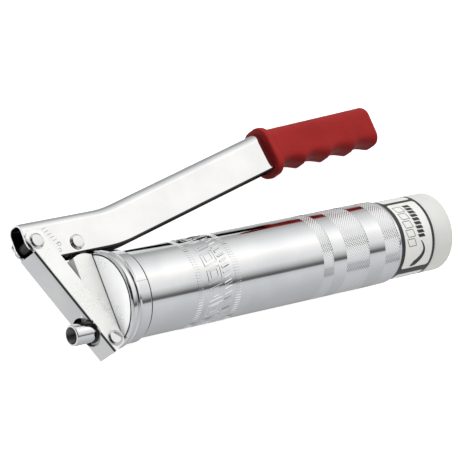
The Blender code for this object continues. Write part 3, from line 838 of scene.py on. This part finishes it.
def make_link():
    length, seat = LINK_REACH.length, (LINK_FOOT, LINK_TILT)
    section = link_section()
    channel = swept([[(x, y, z) for x, z in section] for y in (0.0090, -length - 0.0100)])
    link = finish_mesh("link_channel", channel, chrome_material("chrome_link"), *seat)

    shape = cutter(extruded(link_outline(length), -BEYOND, BEYOND), *seat)
    top, front, far = -length + 0.0046, LINK_FRONT - LINK_BEND + 0.0006, 0.1
    above = [(front, top), (far, top), (far, -far), (front, -far)]
    opening = cutter(extruded(above, -BEYOND, BEYOND), *seat)
    along = Vector((sin(LINK_TILT), -cos(LINK_TILT), 0))
    hole = rod(0.0050, 0.0200, LINK_WINDOW_RADIUS, 96)
    window = cutter(hole, LINK_FOOT + along * LINK_WINDOW_HEIGHT, LINK_TILT)
    behind = [(0.0038, -0.0275), (0.0055, -0.0275), (0.0055, -0.0060), (0.0038, -0.0060)]
    relief = cutter(extruded(behind, -0.0082, 0.0082), *seat)
    carve(link, opening, window, relief, within=shape)
    rest_in_place(link)
    rear = Vector((-cos(LINK_TILT), -sin(LINK_TILT), 0))
    shade_channel_inside(link, rear, LINK_HALF_WIDTH, LINK_WALL)

    def cheek(face):
        z = face.center.z
        return face.normal.z * z > 0.98 * abs(z) and abs(z) > LINK_HALF_WIDTH - 0.0001

    paint(link, satin_material("cheek_plating", CREAM_PLATING), cheek)
    soften(link, 0.00022)
    place(link, "link", "front_link", slot="chrome")


# Lever


def channel_section(depth):
    half, crown, wall = LEVER_HALF_WIDTH, LEVER_CROWN, LEVER_WALL
    centre = (half - crown, depth - crown)
    outer = [(half - wall / 2, 0.0), (half, LEVER_EDGE_CHAMFER), *arc(centre, crown, 0, 90, 20)]
    inner = [(half - wall, 0.0), *arc(centre, crown - wall, 0, 90, 14)]
    section = [*outer, *((-s, h) for s, h in reversed(outer))]
    return [*section, *((-s, h) for s, h in inner), *reversed(inner)]


def lever_line():
    """Stations along the lever's open edge, nose to grip, as (back, height, slope)."""
    bend_start = LEVER_BEND_AT - LEVER_BEND_RADIUS * tan(LEVER_SLOPE / 2)
    stations = [(-LEVER_NOSE, LEVER_BASE, 0.0)]
    for i in range(29):
        turn = LEVER_SLOPE * i / 28
        back = bend_start + LEVER_BEND_RADIUS * sin(turn)
        stations.append((back, LEVER_BASE + LEVER_BEND_RADIUS * (1 - cos(turn)), turn))
    for back in (0.1200, 0.1700, 0.2150):
        height = LEVER_BASE + (back - LEVER_BEND_AT) * tan(LEVER_SLOPE)
        stations.append((back, height, LEVER_SLOPE))
    return stations


def placed(section, back, height, slope):
    return [(-(back - h * sin(slope)), -(height + h * cos(slope)), s) for s, h in section]


def nose_cut():
    """What is cut from the lever's nose: outside a round, then along the link's web."""
    nose = LEVER_NOSE - 0.0003
    turn = LINK_TILT + acos((LINK_FRONT - LINK_WALL - 0.0006) / nose)
    meet = (nose * cos(turn), nose * sin(turn))
    foot = (meet[0] - 0.0120 * sin(LINK_TILT), meet[1] + 0.0120 * cos(LINK_TILT))
    rounding = [(nose * cos(turn * k / 16), nose * sin(turn * k / 16)) for k in range(17)]
    far = 0.0200
    return [(0.0075, 0.0), *rounding, foot, (foot[0], far), (far, far), (far, 0.0)]


def make_lever():
    section = channel_section(LEVER_DEPTH)
    sections = [placed(section, *station) for station in lever_line()]
    chrome = chrome_material("chrome_lever", bow=0.0005)
    lever = finish_mesh("lever_channel", swept(sections), chrome, LEVER_PIVOT)
    carve(lever, cutter(extruded(nose_cut(), -BEYOND, BEYOND), LEVER_PIVOT))
    rest_in_place(lever)
    shade_channel_inside(lever, Vector((0, 1, 0)), LEVER_HALF_WIDTH, LEVER_WALL)
    soften(lever, 0.00022)
    place(lever, "hand_lever", "lever", slot="chrome")


def make_stamp():
    """A plain stamp of a ring, a hook and slanted bars on the lever's side."""
    bm = bmesh.new()
    z = LEVER_HALF_WIDTH + INK_HEIGHT
    strokes = [
        arc((-0.0178, 0.0042), 0.0012, 0, 360, 24), arc((-0.0166, 0.0082), 0.0011, 40, 320, 16),
    ]
    for i in range(6):
        x, y = -0.0084 - 0.0014 * i, -0.0074 + 0.0022 * i
        strokes.append([(x, y), (x - 0.0034, y - 0.0008)])
    for stroke in strokes:
        rows = []
        for pair in ribbon(stroke, [0.00042] * len(stroke)):
            rows.append([bm.verts.new((point.x, point.y, z)) for point in pair])
        join(bm, rows, around=False)
    pressed = metal("stamp_recess", (0.36, 0.37, 0.38), (0.50, 0.51, 0.52), 0.25, 0.40)
    mark = finish_mesh("lever_stamp", bm, pressed, LEVER_PIVOT)
    place(mark, "hand_lever", slot="chrome")


# Grip


def grip_base(back):
    return TAIL_BASE - GRIP_BELOW_TAIL + (back - TAIL_START) * tan(TAIL_SLOPE)


def groove(back):
    """How far the underside is hollowed at this station: scallops that meet in crests."""
    turn = ((back - GROOVE_FIRST) / GROOVE_PITCH) % 1.0
    return GROOVE_DEPTH * sin(pi * turn**0.85)


def grip_sections():
    """The grip's outside: a rolled flange, the scalloped body and a rounded end."""
    flange_slope = radians(7.0)
    middle_height = grip_base(GRIP_FRONT) + GRIP_HEIGHT / 2
    sections = []
    for i in range(25):
        turn = pi * i / 24
        inset = (0.0030 if i <= 12 else 0.0021) * (1 - sin(turn)) ** 1.4
        back = GRIP_FRONT + FLANGE_LENGTH / 2 * (1 - cos(turn))
        half = FLANGE_HALF_HEIGHT - inset
        low, high = middle_height - half, middle_height + half
        width, corner = FLANGE_HALF_WIDTH - inset, FLANGE_CORNER - inset
        sections.append((back, flange_slope, low, high, width, corner, 0.0))
    start, stop = GRIP_FRONT + FLANGE_LENGTH + 0.0008, GRIP_END - GRIP_END_ROUND
    backs = [start + (stop - start) * i / 110 for i in range(110)]
    crests = [GROOVE_FIRST + GROOVE_PITCH * k for k in range(3)]
    backs = sorted([b for b in backs if min(abs(b - c) for c in crests) > 0.0004] + crests)
    for back in backs:
        low = grip_base(back)
        slope = TAIL_SLOPE + (flange_slope - TAIL_SLOPE) * max(0.0, 1 - (back - start) / 0.006)
        shape = low, low + GRIP_HEIGHT, GRIP_HALF_WIDTH, GRIP_CORNER, groove(back)
        sections.append((back, slope, *shape))
    last_crest = GROOVE_FIRST + 3 * GROOVE_PITCH
    for step in range(0, 91, 6):
        inset = GRIP_END_ROUND * (1 - cos(radians(step)))
        back = stop + GRIP_END_ROUND * sin(radians(step))
        low = grip_base(back)
        hollow = groove(min(back, last_crest - 0.0001)) if back < last_crest else 0.0
        width, corner = GRIP_HALF_WIDTH - inset, GRIP_CORNER - inset
        low, high = low + inset, low + GRIP_HEIGHT - inset
        sections.append((back, TAIL_SLOPE, low, high, width, corner, hollow))
    return sections


def rounded_section(low, high, half_width, corner, hollow, steps=14):
    """A rounded rectangle whose underside is hollowed, fading out up its sides."""
    section = []
    for side, height, start in ((1, high, 0), (-1, high, 90), (-1, low, 180), (1, low, 270)):
        centre = height - corner if height == high else height + corner
        section += arc((side * (half_width - corner), centre), corner, start, start + 90, steps)
    shaped = []
    for s, h in section:
        share = max(0.0, 1 - (h - low) / (0.45 * (high - low)))
        waist = 1 - 0.10 * hollow / GROOVE_DEPTH * share * (1 - share) * 2
        shaped.append((s * waist, h + hollow * share**0.7))
    return shaped


def darken_as_painted_shade(material):
    """Darkens a material on faces towards the barrel and towards the head: painted shade."""
    tree = material.node_tree
    _, (x, y, _) = coordinates(tree, "Normal")
    unshaded_share = y.smooth(0.30, 0.95, 1.0, 0.62) * x.smooth(0.20, 0.90, 1.0, 0.50)
    colour = tree.nodes["Principled BSDF"].inputs["Base Color"]
    scale = add_node(tree, "VectorMath")
    scale.operation = "SCALE"
    plug(tree, scale.inputs[0], colour.links[0].from_socket)
    wire(tree, scale, {"Scale": unshaded_share})
    plug(tree, colour, scale.outputs[0])


def make_grip():
    tints = (0.245, 0.0125, 0.0120), (0.325, 0.0190, 0.0180)
    red = moulded("red_vinyl", *tints, 0.40, 0.55, 700.0, 0.00005, gloss=0.08)
    # Painted shade on the grip's faces towards the barrel and the head.
    darken_as_painted_shade(red)
    sections = []
    for back, slope, low, high, half_width, corner, hollow in grip_sections():
        section = rounded_section(low, high, half_width, max(corner, 0.0020), hollow)
        centre = (low + high) / 2
        sections.append([(-(back - (h - centre) * sin(slope)), -h, s) for s, h in section])
    grip = finish_mesh("grip_sleeve", swept(sections), red, LEVER_PIVOT, sharp=55)

    gap = 0.0001
    half = LEVER_HALF_WIDTH + gap
    crown = arc((half - LEVER_CROWN, LEVER_DEPTH + gap - LEVER_CROWN), LEVER_CROWN, 0, 90, 14)
    mouth = [(half, -gap), *crown, *((-s, h) for s, h in reversed(crown)), (-half, -gap)]
    pocket = []
    for back in (0.2000, 0.2165):
        height = LEVER_BASE + (back - LEVER_BEND_AT) * tan(LEVER_SLOPE)
        pocket.append(placed(mouth, back, height, LEVER_SLOPE))
    carve(grip, cutter(swept(pocket), LEVER_PIVOT), sharp=55)
    place(grip, "hand_lever", "lever_grip", slot="red_grip")


# Rivets


def make_rivet(name, node, at, face, body):
    """A riveted pin: a shank, and outside each face a head with a flat top."""
    seat = face + 0.0003
    head, rise = RIVET_HEAD_RADIUS, RIVET_HEAD_HEIGHT
    profile = [
        (rise, 0.0), (rise, head * 0.74), (rise * 0.72, head * 0.84), (rise * 0.30, head),
        (0.0, head),
    ]
    points = [(seat + height, radius) for height, radius in profile]
    dome = filleted(points, [0, 0.0010, 0.0006, 0.0004, 0], closed=False, step=6.0)
    outline = [*dome, (seat, RIVET_SHANK_RADIUS)]
    outline = [*outline, *((-x, r) for x, r in reversed(outline))]
    steel = metal("plated_" + name, (0.74, 0.75, 0.76), (0.84, 0.845, 0.85), 0.07, 0.14)
    rivet = finish_mesh(name, turned(outline, 96), steel, at, pi / 2, "Y", sharp=50)
    place(rivet, body, node, slot="steel")


# Cartridge


def make_cartridge():
    plastic = white_plastic("white_plastic", 0.34, 0.48)
    film = moulded(
        "label_film", (0.71, 0.71, 0.68), (0.77, 0.77, 0.745), 0.25, 0.36, 500.0, 0.00001
    )
    front, shoulder = FACE_X - 0.0086, FACE_X - 0.0180
    radius, rear, cover = CARTRIDGE_RADIUS, REAR_X + 0.0002, 0.0247
    label_seat = radius - 2 * LABEL_INSET
    label_front, label_rear = LABEL_FRONT + LABEL_INSET, LABEL_REAR - LABEL_INSET
    neck, mouth = 0.0168, 0.0125
    rows = [
        (front, mouth, 0.0), (front, neck, 0.0004), (shoulder, neck, 0.0006),
        (shoulder, 0.0262, 0.0010), (shoulder - 0.0013, radius, 0.0008),
        (label_front, radius, 0.0), (label_front, label_seat, 0.0),
        (label_rear, label_seat, 0.0), (label_rear, radius, 0.0001),
        (rear, radius, 0.0028), (rear, cover, 0.0003),
        (REAR_X + 0.0055, cover, 0.0), (REAR_X + 0.0055, CARTRIDGE_BORE, 0.0),
        (shoulder - 0.0022, CARTRIDGE_BORE, 0.0), (shoulder - 0.0016, mouth, 0.0),
    ]
    outline = rounded(rows, step=7.0)
    body = finish_mesh("cartridge_shell", turned(outline, 256), plastic, sharp=40)
    place(body, "cartridge", "cartridge_body", slot="white_plastic")

    inner = radius - LABEL_INSET
    outline = [
        (LABEL_REAR, inner), (LABEL_REAR, radius), (LABEL_FRONT, radius), (LABEL_FRONT, inner),
    ]
    label = finish_mesh("label", turned(outline, 256), film, sharp=40)
    place(label, "cartridge", "cartridge_label", slot="label_film")
    make_label_print()


ROUND = degrees(1 / CARTRIDGE_RADIUS)  # degrees round the cartridge per metre


class Print:
    """Ink on the label, drawn in (x, degrees round from the top) and wrapped round it."""

    def __init__(self):
        self.bm = bmesh.new()
        self.radius = CARTRIDGE_RADIUS + INK_HEIGHT

    def point(self, x, angle):
        return self.bm.verts.new(around_x(x, self.radius, radians(angle)))

    def strip(self, pairs):
        """A band through pairs of points, divided across so that it follows the round."""
        cuts = 6
        rows = []
        shares = [k / cuts for k in range(cuts + 1)]
        for (x0, a0), (x1, a1) in pairs:
            rows.append([self.point(x0 + (x1 - x0) * t, a0 + (a1 - a0) * t) for t in shares])
        join(self.bm, rows, around=False)

    def stroke(self, path, widths):
        """A band along a path of (x, degrees) points, its widths in metres."""
        pairs = ribbon([(x, angle / ROUND) for x, angle in path], widths)
        self.strip([[(point.x, point.y * ROUND) for point in pair] for pair in pairs])

    def bar(self, x0, x1, a0, a1, slant=0.0):
        """A filled bar from a0 to a1 degrees, its sides slanting along X."""
        steps = max(2, ceil(abs(a1 - a0) / 2))
        pairs = []
        for i in range(steps + 1):
            lean, angle = slant * i / steps, a0 + (a1 - a0) * i / steps
            pairs.append(((x0 + lean, angle), (x1 + lean, angle)))
        self.strip(pairs)


def panel_frame(ink, opening, outside):
    """The black surround of a panel: a rounded opening inside a rectangle.

    Both are (rear x, front x, first angle, last angle), the angles in degrees.
    """
    x0, x1, a0, a1 = opening
    outer_x0, outer_x1, outer_a0, outer_a1 = outside
    low, high = a0 / ROUND, a1 / ROUND
    corners = [(x0, low), (x1, low), (x1, high), (x0, high)]
    inner = [Vector(point) for point in filleted(corners, [PANEL_CORNER] * 4, step=8.0)]
    centre = Vector(((x0 + x1) / 2, (a0 + a1) / 2 / ROUND))
    dense = []
    for p, q in zip(inner, [*inner[1:], inner[0]]):
        count = max(1, ceil((q - p).length / 0.0012))
        dense += [p + (q - p) * k / count for k in range(count)]
    pairs = []
    for p in [*dense, dense[0]]:
        share_x = (p.x - centre.x) / ((x1 - x0) / 2)
        share_y = (p.y - centre.y) / ((a1 - a0) / ROUND / 2)
        if abs(share_x) > abs(share_y):
            out_x = outer_x0 if p.x < centre.x else outer_x1
            out_y = spread(share_y, outer_a0, outer_a1)
        else:
            out_x = spread(share_x, outer_x0, outer_x1)
            out_y = outer_a0 if p.y < centre.y else outer_a1
        pairs.append(((min(max(p.x, x0), x1), p.y * ROUND), (out_x, out_y)))
    ink.strip(pairs)


def spread(share, low, high):
    """The place between two ends at this share of half their distance from the middle."""
    return (low + high) / 2 + max(-1, min(1, share * 1.02)) * (high - low) / 2


def make_label_print():
    """Generic print: panels in heavy frames, with slanted bars, a drop and fine rules."""
    ink = Print()
    rear, front = LABEL_REAR + 0.0006, BARREL_REAR + 0.0005
    for a0, a1, outer_a0, outer_a1 in (
        (-42.5, 67.5, -46.0, 78.0), (80.5, 192.0, 78.0, 195.5), (198.0, 311.5, 195.5, 314.0),
    ):
        opening = (PANEL_REAR, PANEL_FRONT, a0, a1)
        panel_frame(ink, opening, (rear, front, outer_a0, outer_a1))
    for i in range(9):
        start, shift = -35.0 + 6.3 * i, 0.00016 * i
        ink.bar(0.0292 - shift, 0.0350 - shift, start, start + 4.9, -0.0012)
    bow, widths = [], []
    for i in range(25):
        turn = i / 24
        bow.append((0.0312 - 0.0040 * sin(pi * turn) + 0.0072 * turn**2, 25.0 + 39.0 * turn))
        widths.append(0.0008 + 0.0046 * turn**1.3 * min(1.0, (1.02 - turn) / 0.14))
    ink.stroke(bow, widths)
    for i in range(4):
        low = 0.0255 + 0.0048 * i
        for k in range(7):
            start = 90.0 + 12.5 * k
            ink.bar(low, low + 0.0006, start, start + (9.0 if (i + k) % 3 else 5.0))
            start += 118.0
            ink.bar(low, low + 0.0006, start, start + (6.0 if (i * k) % 2 else 9.5))
    grey = Print()
    for i in range(5):
        a0 = -34.0 + 13.6 * i
        a1 = a0 + 10.4
        x0, x1, slant = 0.0372, 0.0440, -0.0014
        path = divided([(x0, a0), (x1, a0), (x1 + slant, a1), (x0 + slant, a1)])
        path += path[:2]
        grey.stroke(path, [0.00060] * len(path))
    for name, drawn, material, dark, light in (
        ("label_print", ink, "label_ink", (0.012, 0.012, 0.013), (0.030, 0.030, 0.031)),
        ("label_outlines", grey, "label_grey_ink", (0.16, 0.15, 0.14), (0.24, 0.22, 0.20)),
    ):
        tint = moulded(material, dark, light, 0.28, 0.40, 700.0, 0.00001)
        piece = finish_mesh(name, drawn.bm, tint, sharp=180)
        place(piece, "cartridge", slot="label_film")


# Nodes that keep their shape


def dress_nodes():
    """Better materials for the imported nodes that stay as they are."""
    plain = {
        "head_gasket": rubber_material("gasket_rubber"),
        "outlet_washer": rubber_material("washer_rubber"),
        "plunger_seal": rubber_material("seal_rubber"),
        "valve_seat": brass_material("seat_brass"),
        "spring_retainer": brass_material("retainer_brass"),
        "valve_ball": steel_material("ball_steel"),
        "valve_spring": steel_material("spring_steel"),
        # The plunger's near-black tint is painted shade, filling the dark gap between the link
        # and the block.
        "plunger": metal("plunger_steel_painted_shade", (0.07, 0.07, 0.07), (0.12, 0.12, 0.12), 0.20, 0.34),
        "pivot_sleeve": dark_steel_and_painted_shade("sleeve_steel"),
        "cartridge_base": white_plastic("base_plastic", 0.36, 0.5),
        "cartridge_piston": moulded(
            "piston_plastic", (0.50, 0.50, 0.47), (0.58, 0.58, 0.55), 0.4, 0.55, 900.0, 0.00002
        ),
    }
    for name, made in plain.items():
        node = frame["nodes"][name]
        for slot in node.material_slots:
            slot.material = made
        if not node.material_slots:
            node.data.materials.append(made)


# Stage, light and camera


def make_stage():
    bm = bmesh.new()
    bmesh.ops.create_grid(bm, x_segments=4, y_segments=4, size=4.0)
    made, tree, shader = new_material("pale_floor")
    vector, _ = coordinates(tree)
    tints = [(0.3, (0.86, 0.86, 0.86)), (0.7, (0.89, 0.89, 0.89))]
    tint = noise(tree, vector, 1.2, 3.0).ramp(tints)
    glow = {"Emission Color": (1.0, 1.0, 1.0, 1.0), "Emission Strength": 0.62}
    finish = {"Base Color": tint, "Roughness": 0.9, "Specular IOR Level": 0.1}
    wire(tree, shader, {**finish, **glow})
    at = (CENTRE.x, CENTRE.y, cad_low.z - 0.0002)
    floor_piece = finish_mesh("floor", bm, made, at)
    floor_piece.visible_glossy = False


# How bright the studio is, by the angle round the X axis from straight up towards +Y, in
# degrees: once for what lies behind the gun (-X) and once for what lies in front (+X). A
# third value is how blue it is.
STUDIO_REAR = [
    (-180, 0.80), (-150, 0.62), (-128, 0.42), (-108, 0.36), (-95, 0.44), (-79, 0.66),
    (-60, 0.84), (-42, 1.05), (-26, 1.18, -0.8), (-12, 1.00, -0.8), (0, 0.88), (14, 0.78),
    (22, 0.60), (29, 0.40), (34, 0.18), (38, 0.10), (41, 0.15, 0.2), (44, 0.60, 0.6),
    (54, 0.66, 1.0), (70, 0.61, 1.0), (93, 0.53, 1.0), (120, 0.47, 0.8), (150, 0.42, 0.6),
    (172, 0.34, 0.4), (180, 0.40),
]
STUDIO_FRONT = [
    (-180, 0.98, 0.3), (-165, 1.00, 0.3), (-150, 0.92, 0.2), (-120, 0.60), (-95, 0.50),
    (-70, 0.60), (-54, 0.45), (-42, 0.10), (-28, 0.03), (34, 0.03), (44, 0.40), (62, 0.56, 0.3),
    (85, 0.62, 0.6), (110, 0.66, 0.6), (135, 0.58, 0.3), (157, 0.58), (170, 0.76, 0.2),
    (180, 0.98, 0.3),
]

# The direction of a small soft box in front of the gun, high up.
SOFTBOX = Vector((0.629, -0.200, 0.751)).normalized()


def studio_stops(table):
    stops = []
    for angle, level, *blue in table:
        tint = blue[0] if blue else 0.0
        colour = (level * (1 - 0.020 * tint), level, level * (1 + 0.030 * tint))
        stops.append(((angle + 180) / 360, colour))
    return stops


def switch(tree, factor, otherwise, chosen):
    node = add_node(tree, "MixShader")
    for socket, value in zip(node.inputs, (factor, otherwise, chosen)):
        plug(tree, socket, value)
    return node.outputs[0]


def white_light(tree, strength=1.0):
    light = {"Color": (1.0, 1.0, 1.0, 1.0), "Strength": strength}
    return add_node(tree, "Background", light).outputs[0]


def make_world():
    """The studio as reflections see it, a soft light from all round, and a white backdrop."""
    world = bpy.data.worlds.new("studio")
    bpy.context.scene.world = world
    world.use_nodes = True
    tree = world.node_tree
    _, (x, y, z) = coordinates(tree, "Generated")
    around = y.math("ARCTAN2", z) / tau + 0.5
    rear, front = (around.ramp(studio_stops(table)) for table in (STUDIO_REAR, STUDIO_FRONT))
    mix = add_node(tree, "Mix")
    mix.data_type = "RGBA"
    wire(tree, mix, {"Factor": x.smooth(-0.15, 0.30), "A": rear, "B": front})
    lights = tree.nodes["Background"]
    wire(tree, lights, {"Color": mix.outputs["Result"]})
    toward = x * SOFTBOX[0] + y * SOFTBOX[1] + z * SOFTBOX[2]
    near = toward.smooth(cos(radians(8.0)), cos(radians(5.0)))
    studio = switch(tree, near, lights.outputs[0], white_light(tree, 1.2))
    level = x.smooth(0.0, 0.9, 0.95, 0.30) * y.smooth(0.0, 0.9, 1.0, 0.25)
    rays = add_node(tree, "LightPath").outputs
    backdrop = switch(tree, rays["Is Camera Ray"], white_light(tree, level), white_light(tree))
    chosen = switch(tree, rays["Is Glossy Ray"], backdrop, studio)
    wire(tree, tree.nodes["World Output"], {"Surface": chosen})


def make_lamps():
    for name, offset, size, power in (
        ("key", (-0.10, -0.55, 1.25), 1.6, 9.0),
        ("fill", (-0.9, 0.7, 1.0), 1.6, 3.5),
        ("head", (0.46, -0.08, 0.30), 0.20, 0.9),
    ):
        data = bpy.data.lights.new(name, "AREA")
        data.shape = "DISK"
        data.size = size
        data.energy = power
        lamp = bpy.data.objects.new(name, data)
        lamp.location = CENTRE + Vector(offset)
        lamp.rotation_mode = "QUATERNION"
        lamp.rotation_quaternion = (-Vector(offset)).to_track_quat("-Z", "Y")
        lamp.visible_glossy = False
        bpy.context.scene.collection.objects.link(lamp)


# The photo's camera, solved from the photo.
CAMERA_LENS = 226.9
CAMERA_AT = (1.4184, 0.3726, 1.4964)
CAMERA_RIGHT = Vector((-0.7617, 0.3516, 0.5442))
CAMERA_BACK = Vector((0.629, 0.1998, 0.7513))


def make_camera():
    data = bpy.data.cameras.new("camera")
    data.lens = CAMERA_LENS
    data.clip_start, data.clip_end = 0.05, 50.0
    camera = bpy.data.objects.new("camera", data)
    back = CAMERA_BACK.normalized()
    up = back.cross(CAMERA_RIGHT.normalized()).normalized()
    turn = Matrix((up.cross(back), up, back)).transposed().to_4x4()
    camera.matrix_world = Matrix.Translation(CAMERA_AT) @ turn
    bpy.context.scene.collection.objects.link(camera)
    bpy.context.scene.camera = camera


make_camera()
make_world()
make_lamps()
make_stage()
make_head()
make_block()
make_collar()
make_barrel()
make_nozzle()
make_link()
make_lever()
make_stamp()
make_grip()
make_rivet("rivet_foot", "link_head_rivet", LINK_FOOT, LINK_HALF_WIDTH, "gun_body")
make_rivet("rivet_nose", "lever_link_rivet", LEVER_PIVOT, LINK_HALF_WIDTH, "link")
make_rivet("rivet_plunger", "lever_plunger_rivet", PLUNGER_PIVOT, LEVER_HALF_WIDTH, "hand_lever")
make_cartridge()
dress_nodes()
